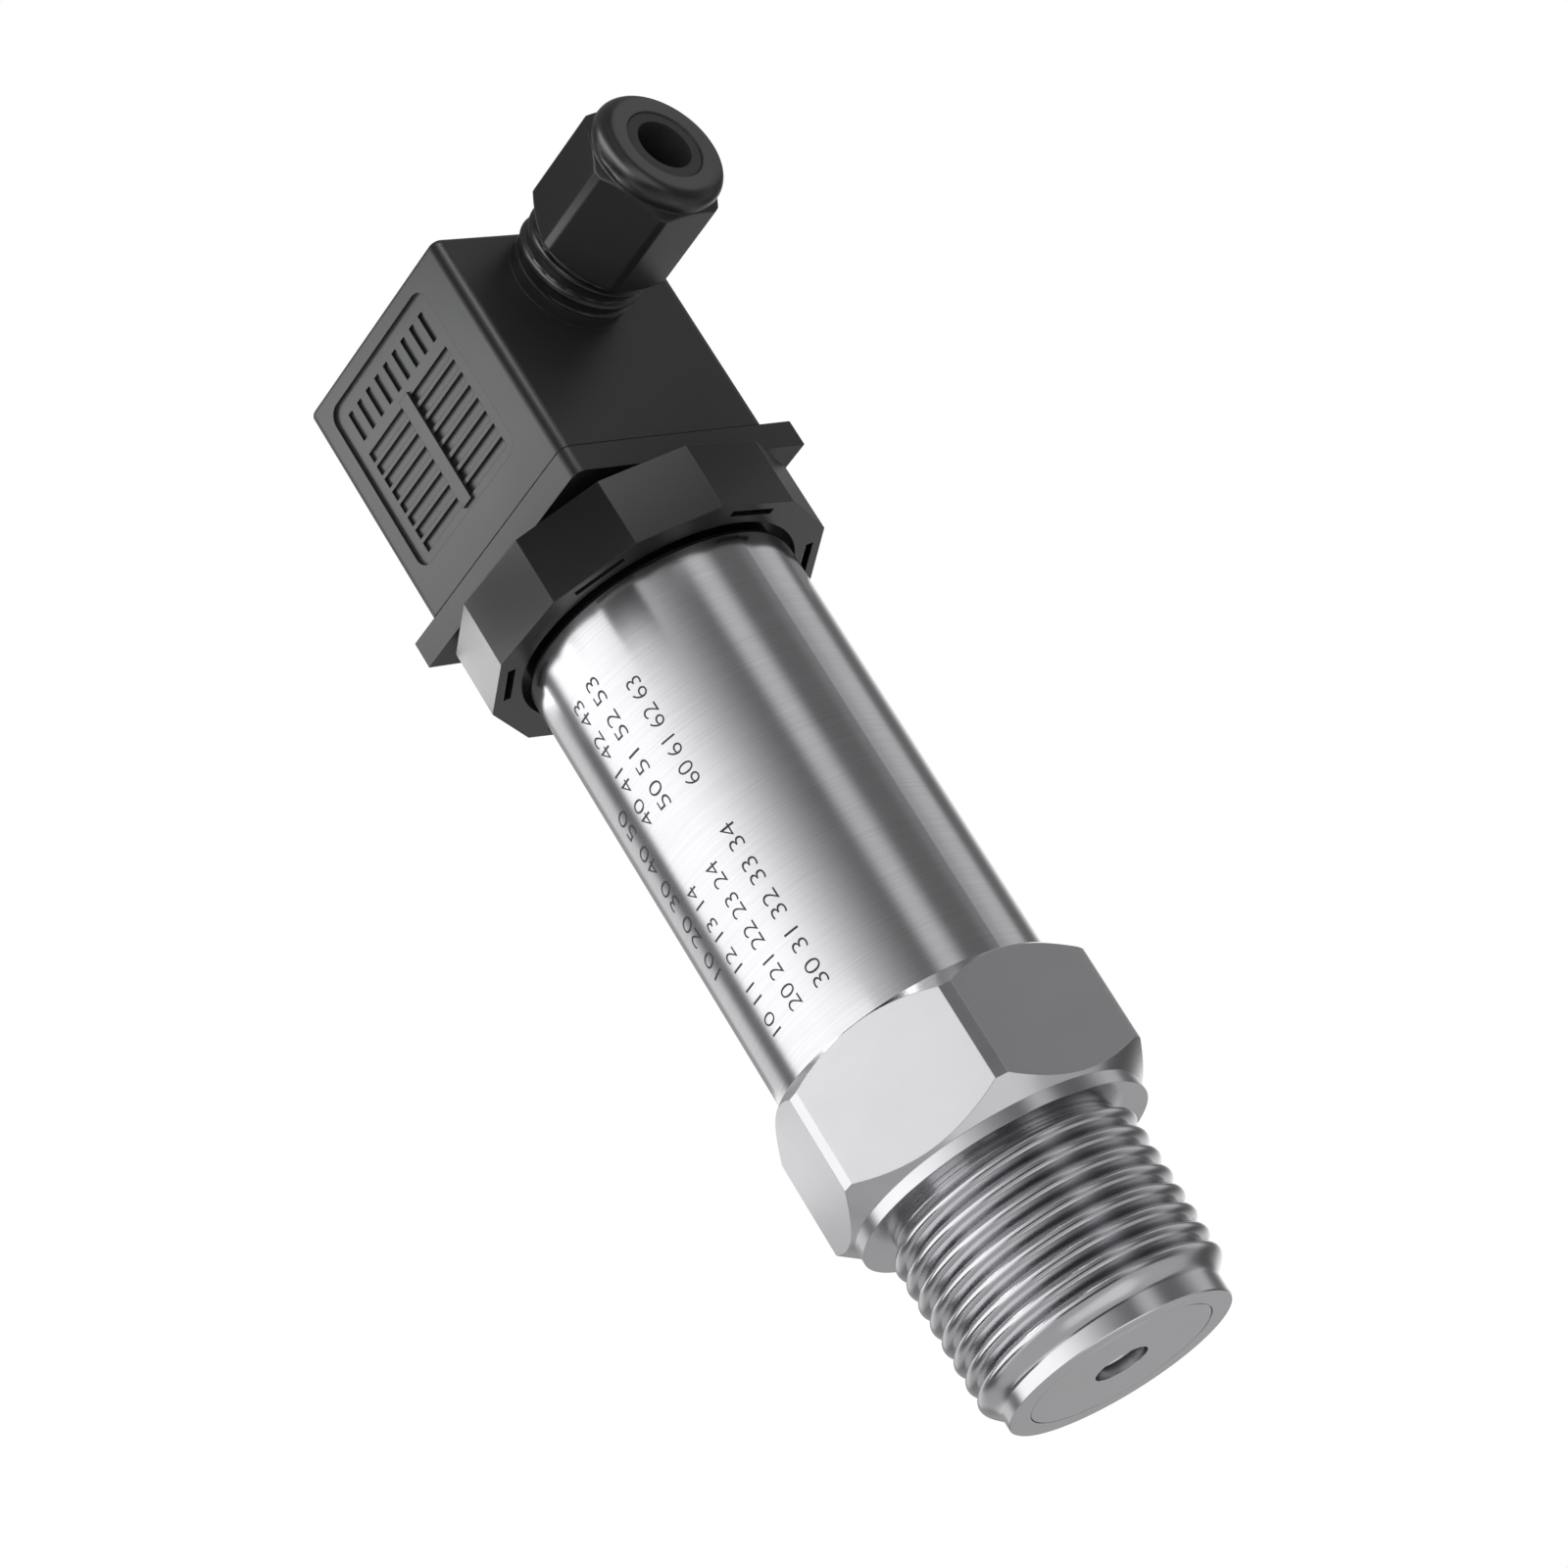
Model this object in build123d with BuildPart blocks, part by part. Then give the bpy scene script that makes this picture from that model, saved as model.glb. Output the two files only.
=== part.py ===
from build123d import *
import os
from math import cos, radians, sin

# Pressure transmitter: a stainless threaded fitting and tube, closed by a black plastic base.
# The base is locked by a twelve-sided ring and carries a square plug with a cable gland.
# Z is the axis of the body and points up to the plug. The origin is the centre of the end face.
# The gland points along +X and the ribbed side of the plug faces -Y. Sizes are in millimetres.

# Running and seating clearances
turn_clearance = 0.06
seat_clearance = 0.03
slide_clearance = 0.2
lift_gap = 0.3
groove_side_gap = 0.15
cut_margin = 1.0

# Threaded end of the fitting
pilot_step = 1.4
pilot_length = 1.9
thread_diameter = 27.0
thread_length = 17.1
runout_length = 0.5
relief_length = 2.0
relief_step = 1.4
collar_diameter = 31.2
collar_height = 1.35

# Hexagon of the fitting
hex_across_flats = 32.0
hex_corner_diameter = 36.2
hex_turn = -2.8
lower_cone_height = 2.2
hex_corner_length = 10.4
upper_cone_height = 2.0
top_face_inset = 0.1

# Pressure port and sensor chamber
disc_diameter = 19.66
disc_thickness = 1.2
disc_edge_chamfer = 0.12
port_hole_diameter = 5.7
port_bore_diameter = 4.6
port_bore_chamfer = 0.5
chamber_floor = 20.0
cell_diameter = 19.0
cell_height = 14.0
diaphragm_depth = 0.4
header_recess_depth = 1.5
header_recess_diameter = 14.0
oring_section = 1.5
retainer_diameter = 21.0
retainer_height = 3.0
retainer_bore = 15.0
retainer_slot_width = 2.4
retainer_slot_depth = 1.2
spigot_length = 3.8

# Body tube
tube_diameter = 29.6
tube_wall = 1.2
tube_length = 51.1
tube_shoulder_radius = 0.5
tube_neck_diameter = 27.6
tube_neck_length = 2.6

# Circuit boards
board_thickness = 1.6
board_side_gap = 0.3
board_length = 33.0
pin_diameter = 0.5
pin_circle = 10.0
pin_count = 6
pin_hole_clearance = 0.1
pin_stand = 0.8
pin_header_length = 15.0
pin_header_depth = 1.2
pin_header_height = 2.5
chip_width = 7.5
chip_length = 5.0
chip_height = 1.7
chip_spacing = 11.0
chip_count = 2
capacitor_diameter = 5.0
capacitor_height = 5.4
capacitor_spacing = 8.0
capacitor_count = 3
capacitor_edge_chamfer = 0.3
lead_diameter = 1.3
lead_overlap = 5.0
lead_bend = 1.5
lead_pitch = 4.0

# Twelve-sided lock ring
ring_sides = 12
ring_across_flats = 36.6
ring_turn = 3.5
ring_height = 7.7
ring_skirt_bore = 30.9
ring_shoulder_gap = 0.25
ring_slot_count = 6
ring_slot_length = 5.8
ring_slot_width = 0.85
ring_slot_depth = 2.6
ring_slot_radius = 16.9

# Plastic base
stub_diameter = 24.0
stub_bore = 20.0
stub_length = 16.0
base_oring_section = 1.1
base_oring_height = 2.5
base_neck_diameter = 26.0
base_neck_height = 1.8
flange_height = 3.1
flange_edge_chamfer = 0.08
ear_reach = 3.45
ear_length = 7.0
platform_width = 20.4
platform_height = 1.0
gasket_thickness = 1.2
gasket_width = 1.75
insert_diameter = 5.0
insert_length = 6.0
insert_floor = 1.0
insert_boss_diameter = 8.0
signal_blade_count = 3
blade_circle = 18.0
blade_width = 6.3
blade_thickness = 0.8
blade_stand = 8.6
blade_tip_chamfer = 0.25
tail_drop = 6.0
tail_width = 2.4

# Square plug cover
plug_width = 27.5
plug_height = 26.6
plug_edge_radius = 1.2
plug_top_radius = 0.6
plug_wall = 1.5
plug_roof = 2.0
screw_boss_diameter = 8.4
screw_recess_diameter = 6.0
screw_recess_depth = 3.7
boss_floor = 1.6

# Ribbed panel on the -Y side
panel_center = -1.0
panel_width = 19.8
panel_height = 20.4
panel_top_margin = 2.0
panel_corner_radius = 1.6
panel_depth = 0.4
slot_depth = 0.35
slot_rows = 8
slot_pitch = 1.65
slot_height = 1.15
slot_length = 7.5
slot_top_margin = 6.5
bar_width = 1.65
bar_height = 0.3
bar_length = 13.6
mark_count = 9
mark_width = 0.75
mark_height = 3.4
mark_pitch = 1.9
mark_top_margin = 1.7

# Terminal block, clamps and screws
block_height = 11.0
block_lift = 0.3
socket_floor = 1.6
clamp_width = 7.8
clamp_depth = 4.8
clamp_height = 6.5
clamp_outer_lip = 0.6
socket_clearance = 0.2
blade_entry_clearance = 0.4
terminal_screw_diameter = 2.5
terminal_head_diameter = 3.2
terminal_head_height = 1.6
terminal_screw_length = 5.0
driver_slot_width = 0.8
driver_slot_depth = 0.7

# Centre screw
centre_screw_diameter = 3.0
centre_head_diameter = 5.5
centre_head_height = 2.2
centre_screw_reach = 4.4
centre_screw_chamfer = 0.3
screw_seal_thickness = 0.8

# Cable gland
gland_drop = 6.5
gland_boss_diameter = 12.9
gland_boss_length = 1.4
gland_thread_diameter = 12.5
gland_thread_end = 12.75
gland_bore = 9.2
gland_bore_floor = 4.4
cable_passage = 7.2
gland_nut_across_flats = 14.0
gland_nut_corner_diameter = 15.7
gland_nut_turn = 7.0
gland_nut_start = 6.2
gland_hex_length = 11.5
gland_nut_chamfer = 0.55
dome_diameter = 14.36
dome_round = 1.5
dome_length = 2.3
dome_undercut = 70.0
nose_diameter = 8.3
cable_hole = 6.0
thrust_ring_thickness = 0.6
nose_setback = 0.08

# Heights along the body, from the end face up
relief_z = pilot_length + thread_length
collar_z = relief_z + relief_length
cone_z = collar_z + collar_height
corner_low_z = cone_z + lower_cone_height
corner_high_z = corner_low_z + hex_corner_length
seat_z = corner_high_z + upper_cone_height
spigot_top_z = seat_z + spigot_length
shoulder_z = seat_z + tube_length
neck_top_z = shoulder_z + tube_neck_length
ring_z = shoulder_z + ring_shoulder_gap
ring_top_z = ring_z + ring_height
ring_web_z = neck_top_z + lift_gap
stub_z = ring_top_z - stub_length
flange_z = ring_top_z + base_neck_height
cover_z = flange_z + flange_height
platform_z = cover_z + platform_height
plug_top_z = cover_z + plug_height

# Heights inside the fitting and the tube
cell_top_z = chamber_floor + cell_height
header_z = cell_top_z - header_recess_depth
retainer_top_z = cell_top_z + retainer_height
main_board_z = spigot_top_z + board_thickness
board_top_z = main_board_z + board_length
tail_z = flange_z - tail_drop

# Heights inside the plug
block_z = cover_z + gasket_thickness + block_lift
clamp_z = block_z + socket_floor
clamp_top_z = clamp_z + clamp_height
cavity_height = plug_height - plug_roof
screw_seat_z = plug_top_z - screw_recess_depth
screw_head_z = screw_seat_z + screw_seal_thickness
gland_z = plug_top_z - gland_drop

# Radii and widths used by more than one piece
thread_r = thread_diameter / 2
pilot_r = thread_r - pilot_step
relief_r = thread_r - relief_step
tube_r = tube_diameter / 2
tube_bore_r = tube_r - tube_wall
stub_r = stub_diameter / 2
chamber_r = cell_diameter / 2 + turn_clearance
plug_half = plug_width / 2
cavity_width = plug_width - 2 * plug_wall
block_width = cavity_width - 2 * slide_clearance
contact_count = signal_blade_count + 1
blade_r = blade_circle / 2
clamp_center_r = blade_r + blade_thickness / 2 + socket_clearance + clamp_outer_lip - clamp_depth / 2
terminal_screw_r = (blade_r - blade_thickness / 2 - socket_clearance + clamp_center_r - clamp_depth / 2) / 2
nut_start_x = plug_half + gland_nut_start
nut_hex_end_x = nut_start_x + gland_hex_length
nut_front_x = nut_hex_end_x + dome_length
thread_end_x = plug_half + gland_thread_end
seal_start_x = plug_half + gland_bore_floor
seal_front_x = nut_front_x - nose_setback
seal_step_x = thread_end_x + lift_gap
nut_step_x = seal_step_x + thrust_ring_thickness + turn_clearance
gland_axis = Axis((0, 0, gland_z), (1, 0, 0))

os.makedirs("parts", exist_ok=True)


def save(piece, name):
    """Label a finished piece and write its STEP file."""
    piece.part.label = name
    export_step(piece.part, f"parts/{name}.step")


# Process fitting: one bar of stainless steel, turned at both ends and milled to a hexagon
with BuildPart() as process_fitting:
    with BuildSketch(Plane.XY.offset(cone_z)):
        RegularPolygon(hex_across_flats / 2, 6, major_radius=False, rotation=hex_turn + 30)
    extrude(amount=seat_z - cone_z)
    with BuildSketch(Plane.XZ):
        with BuildLine():
            Polyline(
                (0, cone_z),
                (collar_diameter / 2, cone_z),
                (hex_corner_diameter / 2, corner_low_z),
                (hex_corner_diameter / 2, corner_high_z),
                (hex_across_flats / 2 - top_face_inset, seat_z),
                (0, seat_z),
                close=True,
            )
        make_face()
    revolve(axis=Axis.Z, mode=Mode.INTERSECT)
    with BuildSketch(Plane.XZ):
        with BuildLine():
            Polyline(
                (0, cone_z),
                (0, 0),
                (pilot_r, 0),
                (pilot_r, pilot_length),
                (thread_r, pilot_length + pilot_step),
                (thread_r, relief_z - runout_length),
                (relief_r, relief_z),
                (relief_r, collar_z),
                (collar_diameter / 2, collar_z),
                (collar_diameter / 2, cone_z),
                close=True,
            )
        make_face()
    revolve(axis=Axis.Z)
    with BuildSketch(Plane.XY.offset(seat_z)):
        Circle(tube_bore_r - seat_clearance)
    extrude(amount=spigot_length)
    with BuildSketch(Plane.XZ):
        with BuildLine():
            Polyline(
                (0, 0),
                (disc_diameter / 2 + seat_clearance, 0),
                (disc_diameter / 2 + seat_clearance, disc_thickness),
                (port_bore_diameter / 2 + port_bore_chamfer, disc_thickness),
                (port_bore_diameter / 2, disc_thickness + port_bore_chamfer),
                (port_bore_diameter / 2, chamber_floor),
                (chamber_r, chamber_floor),
                (chamber_r, cell_top_z),
                (retainer_diameter / 2 + turn_clearance, cell_top_z),
                (retainer_diameter / 2 + turn_clearance, spigot_top_z),
                (0, spigot_top_z),
                close=True,
            )
        make_face()
    revolve(axis=Axis.Z, mode=Mode.SUBTRACT)
save(process_fitting, "process_fitting")

# Port disc: a turned stainless insert that narrows the mouth of the pressure port
with BuildPart() as port_disc:
    with BuildSketch(Plane.XY):
        Circle(disc_diameter / 2)
        Circle(port_hole_diameter / 2, mode=Mode.SUBTRACT)
    extrude(amount=disc_thickness)
    rim = port_disc.faces().sort_by(Axis.Z)[0].edges().sort_by(SortBy.LENGTH)[-1]
    chamfer(rim, disc_edge_chamfer)
save(port_disc, "port_disc")

# Sensor cell: a closed steel capsule with a thin diaphragm below and a pin header above
with BuildPart() as sensor_cell:
    with BuildSketch(Plane.XY.offset(chamber_floor)):
        Circle(cell_diameter / 2)
    extrude(amount=cell_height)
    with BuildSketch(Plane.XY.offset(chamber_floor)):
        Circle(header_recess_diameter / 2)
    extrude(amount=diaphragm_depth, mode=Mode.SUBTRACT)
    with BuildSketch(Plane.XY.offset(header_z)):
        Circle(header_recess_diameter / 2)
    extrude(amount=header_recess_depth, mode=Mode.SUBTRACT)
    cell_groove_z = chamber_floor + cell_height / 2
    groove_floor_r = chamber_r - oring_section - 2 * seat_clearance
    cell_groove_width = oring_section + 2 * groove_side_gap
    with BuildSketch(Plane.XY.offset(cell_groove_z - cell_groove_width / 2)):
        Circle(cell_diameter / 2 + cut_margin)
        Circle(groove_floor_r, mode=Mode.SUBTRACT)
    extrude(amount=cell_groove_width, mode=Mode.SUBTRACT)
save(sensor_cell, "sensor_cell")

# Rubber ring that seals the cell in its chamber
with BuildPart() as cell_oring:
    with BuildSketch(Plane.XZ):
        with Locations((groove_floor_r + seat_clearance + oring_section / 2, cell_groove_z)):
            Circle(oring_section / 2)
    revolve(axis=Axis.Z)
save(cell_oring, "cell_oring")

# Pins of the sensor cell, which also carry the round board
with BuildPart() as sensor_pins:
    with BuildSketch(Plane.XY.offset(header_z)):
        with PolarLocations(pin_circle / 2, pin_count, start_angle=180 / pin_count):
            Circle(pin_diameter / 2)
    extrude(amount=main_board_z + pin_stand - header_z)
save(sensor_pins, "sensor_pins")

# Threaded ring that clamps the cell, with two slots for a pin spanner
with BuildPart() as cell_retainer:
    with BuildSketch(Plane.XY.offset(cell_top_z)):
        Circle(retainer_diameter / 2)
        Circle(retainer_bore / 2, mode=Mode.SUBTRACT)
    extrude(amount=retainer_height)
    with BuildSketch(Plane.XY.offset(retainer_top_z)):
        Rectangle(retainer_diameter + cut_margin, retainer_slot_width)
    extrude(amount=-retainer_slot_depth, mode=Mode.SUBTRACT)
save(cell_retainer, "cell_retainer")

# Round board on the pins of the cell, resting on the end of the fitting
with BuildPart() as sensor_board:
    with BuildSketch(Plane.XY.offset(spigot_top_z)):
        Circle(tube_bore_r - board_side_gap)
        with PolarLocations(pin_circle / 2, pin_count, start_angle=180 / pin_count):
            Circle(pin_diameter / 2 + pin_hole_clearance, mode=Mode.SUBTRACT)
    extrude(amount=board_thickness)
save(sensor_board, "sensor_board")

# Upright signal board, guided at both edges by the tube
with BuildPart() as circuit_board:
    with BuildSketch(Plane.XZ.offset(-board_thickness / 2)):
        with Locations((0, main_board_z + board_length / 2)):
            Rectangle(2 * (tube_bore_r - board_side_gap), board_length)
    extrude(amount=board_thickness)
save(circuit_board, "circuit_board")

# Header strip that joins the two boards
with BuildPart() as pin_header:
    with BuildSketch(Plane.XY.offset(main_board_z)):
        with Locations((0, board_thickness / 2 + pin_header_depth / 2)):
            Rectangle(pin_header_length, pin_header_depth)
    extrude(amount=pin_header_height)
save(pin_header, "pin_header")

# Amplifier chips on the back of the signal board
board_center_z = main_board_z + board_length / 2
with BuildPart() as signal_chips:
    with BuildSketch(Plane.XZ.offset(-board_thickness / 2)):
        with Locations((0, board_center_z)):
            with GridLocations(chip_spacing, chip_spacing, 1, chip_count):
                Rectangle(chip_width, chip_length)
    extrude(amount=-chip_height)
save(signal_chips, "signal_chips")

# Filter capacitors on the front of the signal board
with BuildPart() as filter_capacitors:
    with BuildSketch(Plane.XZ.offset(board_thickness / 2)):
        with Locations((0, board_center_z)):
            with GridLocations(capacitor_spacing, capacitor_spacing, 1, capacitor_count):
                Circle(capacitor_diameter / 2)
    extrude(amount=capacitor_height)
    chamfer(filter_capacitors.faces().group_by(Axis.Y)[0].edges(), capacitor_edge_chamfer)
save(filter_capacitors, "filter_capacitors")

# Body tube: drawn stainless tube with a turned neck that takes the base
with BuildPart() as body_tube:
    with BuildSketch(Plane.XZ):
        with BuildLine():
            Polyline(
                (tube_bore_r, seat_z),
                (tube_r, seat_z),
                (tube_r, shoulder_z - tube_shoulder_radius),
            )
            RadiusArc(
                (tube_r, shoulder_z - tube_shoulder_radius),
                (tube_r - tube_shoulder_radius, shoulder_z),
                -tube_shoulder_radius,
            )
            Polyline(
                (tube_r - tube_shoulder_radius, shoulder_z),
                (tube_neck_diameter / 2, shoulder_z),
                (tube_neck_diameter / 2, neck_top_z),
                (stub_r + seat_clearance, neck_top_z),
                (stub_r + seat_clearance, stub_z),
                (tube_bore_r, stub_z - (tube_bore_r - stub_r)),
                (tube_bore_r, seat_z),
            )
        make_face()
    revolve(axis=Axis.Z)
save(body_tube, "body_tube")

# Plastic base: a hollow threaded stub, a square flange with two ears, a low platform on top
# and a closed boss below that holds the brass insert
base_groove_z = stub_z + base_oring_height
base_groove_r = stub_r - base_oring_section - seat_clearance
base_groove_width = base_oring_section + 2 * groove_side_gap
boss_bottom_z = platform_z - insert_length - insert_floor
with BuildPart() as connector_base:
    with BuildSketch(Plane.XY.offset(stub_z)):
        Circle(stub_r)
    extrude(amount=flange_z - stub_z)
    with BuildSketch(Plane.XY.offset(ring_top_z)):
        Circle(base_neck_diameter / 2)
    extrude(amount=base_neck_height)
    with BuildSketch(Plane.XY.offset(flange_z)):
        RectangleRounded(plug_width, plug_width, plug_edge_radius)
        with Locations((-plug_half - ear_reach, -plug_half)):
            Rectangle(2 * ear_reach, ear_length, align=(Align.MIN, Align.MIN))
        with Locations((plug_half, plug_half + ear_reach)):
            Rectangle(ear_length, 2 * ear_reach, align=(Align.MAX, Align.MAX))
    extrude(amount=flange_height)
    chamfer(connector_base.faces().sort_by(Axis.Z)[-1].edges(), flange_edge_chamfer)
    with BuildSketch(Plane.XY.offset(cover_z)):
        RectangleRounded(platform_width, platform_width, plug_edge_radius)
    extrude(amount=platform_height)
    with BuildSketch(Plane.XY.offset(stub_z)):
        Circle(stub_bore / 2)
    extrude(amount=flange_z - stub_z, mode=Mode.SUBTRACT)
    with BuildSketch(Plane.XY.offset(boss_bottom_z)):
        Circle(insert_boss_diameter / 2)
    extrude(amount=flange_z - boss_bottom_z)
    with BuildSketch(Plane.XY.offset(base_groove_z - base_groove_width / 2)):
        Circle(stub_r + cut_margin)
        Circle(base_groove_r, mode=Mode.SUBTRACT)
    extrude(amount=base_groove_width, mode=Mode.SUBTRACT)
    with BuildSketch(Plane.XY.offset(flange_z)):
        with PolarLocations(blade_r, contact_count):
            Rectangle(blade_thickness + 2 * seat_clearance, blade_width + 2 * seat_clearance)
    extrude(amount=platform_z - flange_z, mode=Mode.SUBTRACT)
    with BuildSketch(Plane.XY.offset(platform_z)):
        Circle(insert_diameter / 2 + seat_clearance)
    extrude(amount=-insert_length, mode=Mode.SUBTRACT)
save(connector_base, "connector_base")

# Rubber ring between the stub of the base and the tube
with BuildPart() as base_oring:
    with BuildSketch(Plane.XZ):
        with Locations((base_groove_r + seat_clearance + base_oring_section / 2, base_groove_z)):
            Circle(base_oring_section / 2)
    revolve(axis=Axis.Z)
save(base_oring, "base_oring")

# Lock ring: a twelve-sided moulded nut with a skirt over the neck of the tube
with BuildPart() as ring_nut:
    with BuildSketch(Plane.XY.offset(ring_z)):
        RegularPolygon(
            ring_across_flats / 2, ring_sides, major_radius=False, rotation=ring_turn + 180 / ring_sides
        )
    extrude(amount=ring_height)
    with BuildSketch(Plane.XY.offset(ring_z)):
        Circle(ring_skirt_bore / 2)
    extrude(amount=ring_web_z - ring_z, mode=Mode.SUBTRACT)
    with BuildSketch(Plane.XY.offset(ring_z)):
        Circle(stub_r + turn_clearance)
    extrude(amount=ring_height, mode=Mode.SUBTRACT)
    with BuildSketch(Plane.XY.offset(ring_z)):
        with PolarLocations(ring_slot_radius, ring_slot_count, start_angle=ring_turn):
            Rectangle(ring_slot_width, ring_slot_length)
    extrude(amount=ring_slot_depth, mode=Mode.SUBTRACT)
save(ring_nut, "ring_nut")

# Flat contact blades: three for the signal and supply, and one for earth
with BuildPart() as contact_blades:
    with BuildSketch(Plane.XY.offset(flange_z)):
        with PolarLocations(blade_r, signal_blade_count, start_angle=90, angular_range=180, endpoint=True):
            Rectangle(blade_thickness, blade_width)
    extrude(amount=platform_z + blade_stand - flange_z)
    tips = contact_blades.faces().group_by(Axis.Z)[-1].edges()
    chamfer(tips, blade_tip_chamfer)
    with BuildSketch(Plane.XY.offset(flange_z)):
        with PolarLocations(blade_r, signal_blade_count, start_angle=90, angular_range=180, endpoint=True):
            Rectangle(blade_thickness, tail_width)
    extrude(amount=-tail_drop)
save(contact_blades, "contact_blades")

with BuildPart() as earth_blade:
    with BuildSketch(Plane.XY.offset(flange_z)):
        with PolarLocations(blade_r, 1):
            Rectangle(blade_thickness, blade_width)
    extrude(amount=platform_z + blade_stand - flange_z)
    chamfer(earth_blade.faces().sort_by(Axis.Z)[-1].edges(), blade_tip_chamfer)
    with BuildSketch(Plane.XY.offset(flange_z)):
        with PolarLocations(blade_r, 1):
            Rectangle(blade_thickness, tail_width)
    extrude(amount=-tail_drop)
save(earth_blade, "earth_blade")

# Insulated leads from the signal board to the four blade tails
lead_start_z = board_top_z - lead_overlap
lead_rise_z = board_top_z + lead_diameter
lead_y = (board_thickness + lead_diameter) / 2
lead_ends = [(-blade_r, 0), (0, blade_r), (0, -blade_r), (blade_r, 0)]
lead_sides = [1, 1, -1, -1]
with BuildPart() as lead_wires:
    for index, ((end_x, end_y), side) in enumerate(zip(lead_ends, lead_sides)):
        start_x = (index - (contact_count - 1) / 2) * lead_pitch
        with BuildLine() as route:
            FilletPolyline(
                (start_x, side * lead_y, lead_start_z),
                (start_x, side * lead_y, lead_rise_z),
                (end_x, end_y, tail_z - 2 * lead_diameter),
                (end_x, end_y, tail_z),
                radius=lead_bend,
            )
        with BuildSketch(Plane.XY.offset(lead_start_z)):
            with Locations((start_x, side * lead_y)):
                Circle(lead_diameter / 2)
        sweep(path=route.line)
save(lead_wires, "lead_wires")

# Brass insert for the centre screw
with BuildPart() as insert_nut:
    with BuildSketch(Plane.XY.offset(platform_z)):
        Circle(insert_diameter / 2)
        Circle(centre_screw_diameter / 2 + turn_clearance, mode=Mode.SUBTRACT)
    extrude(amount=-insert_length)
save(insert_nut, "insert_nut")

# Flat square gasket round the platform
with BuildPart() as flat_gasket:
    gasket_bore = platform_width + 2 * seat_clearance
    with BuildSketch(Plane.XY.offset(cover_z)):
        Rectangle(gasket_bore + 2 * gasket_width, gasket_bore + 2 * gasket_width)
        RectangleRounded(gasket_bore, gasket_bore, plug_edge_radius, mode=Mode.SUBTRACT)
    extrude(amount=gasket_thickness)
save(flat_gasket, "flat_gasket")

# Plug cover: a moulded square cap with a ribbed side and a threaded spigot for the gland
with BuildPart() as plug_cover:
    with BuildSketch(Plane.XY.offset(cover_z)):
        RectangleRounded(plug_width, plug_width, plug_edge_radius)
    extrude(amount=plug_height)
    fillet(plug_cover.faces().sort_by(Axis.Z)[-1].edges(), plug_top_radius)
    with BuildSketch(Plane.XY.offset(cover_z)):
        Rectangle(cavity_width, cavity_width)
    extrude(amount=cavity_height, mode=Mode.SUBTRACT)
    with BuildSketch(Plane.XY.offset(plug_top_z - plug_top_radius)):
        Circle(screw_boss_diameter / 2)
    extrude(amount=-(screw_recess_depth + boss_floor - plug_top_radius))
    with BuildSketch(Plane.XY.offset(plug_top_z)):
        Circle(screw_recess_diameter / 2)
    extrude(amount=-screw_recess_depth, mode=Mode.SUBTRACT)
    with BuildSketch(Plane.XY.offset(plug_top_z)):
        Circle(centre_screw_diameter / 2 + slide_clearance)
    extrude(amount=-(screw_recess_depth + boss_floor), mode=Mode.SUBTRACT)
    with BuildSketch(Plane.YZ.offset(plug_half - plug_wall / 2)):
        with Locations((0, gland_z)):
            Circle(gland_boss_diameter / 2)
    extrude(amount=gland_boss_length + plug_wall / 2)
    with BuildSketch(Plane.YZ.offset(plug_half + gland_boss_length)):
        with Locations((0, gland_z)):
            Circle(gland_thread_diameter / 2)
    extrude(amount=gland_thread_end - gland_boss_length)
    with BuildSketch(Plane.XZ):
        with BuildLine():
            Polyline(
                (plug_half - plug_wall - cut_margin, gland_z),
                (plug_half - plug_wall - cut_margin, gland_z + cable_passage / 2),
                (seal_start_x, gland_z + cable_passage / 2),
                (seal_start_x, gland_z + gland_bore / 2),
                (thread_end_x, gland_z + gland_bore / 2),
                (thread_end_x, gland_z),
                close=True,
            )
        make_face()
    revolve(axis=gland_axis, mode=Mode.SUBTRACT)
    # Recessed panel with a plain row of upright marks over two columns of slots
    panel_top_z = plug_top_z - panel_top_margin
    panel_floor = Plane.XZ.offset(plug_half - panel_depth)
    with BuildSketch(Plane.XZ.offset(plug_half)):
        with Locations((panel_center, panel_top_z - panel_height / 2)):
            RectangleRounded(panel_width, panel_height, panel_corner_radius)
    extrude(amount=-panel_depth, mode=Mode.SUBTRACT)
    slot_rows_z = panel_top_z - slot_top_margin - slot_height / 2 - (slot_rows - 1) * slot_pitch / 2
    with BuildSketch(panel_floor):
        with Locations((panel_center, slot_rows_z)):
            with GridLocations(slot_length + bar_width, slot_pitch, 2, slot_rows):
                Rectangle(slot_length, slot_height)
        with Locations((panel_center, panel_top_z - mark_top_margin - mark_height / 2)):
            with GridLocations(mark_pitch, mark_height, mark_count, 1):
                Rectangle(mark_width, mark_height)
    extrude(amount=-slot_depth, mode=Mode.SUBTRACT)
    with BuildSketch(panel_floor):
        with Locations((panel_center, slot_rows_z)):
            Rectangle(bar_width, bar_length)
    extrude(amount=bar_height)
save(plug_cover, "plug_cover")

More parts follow.
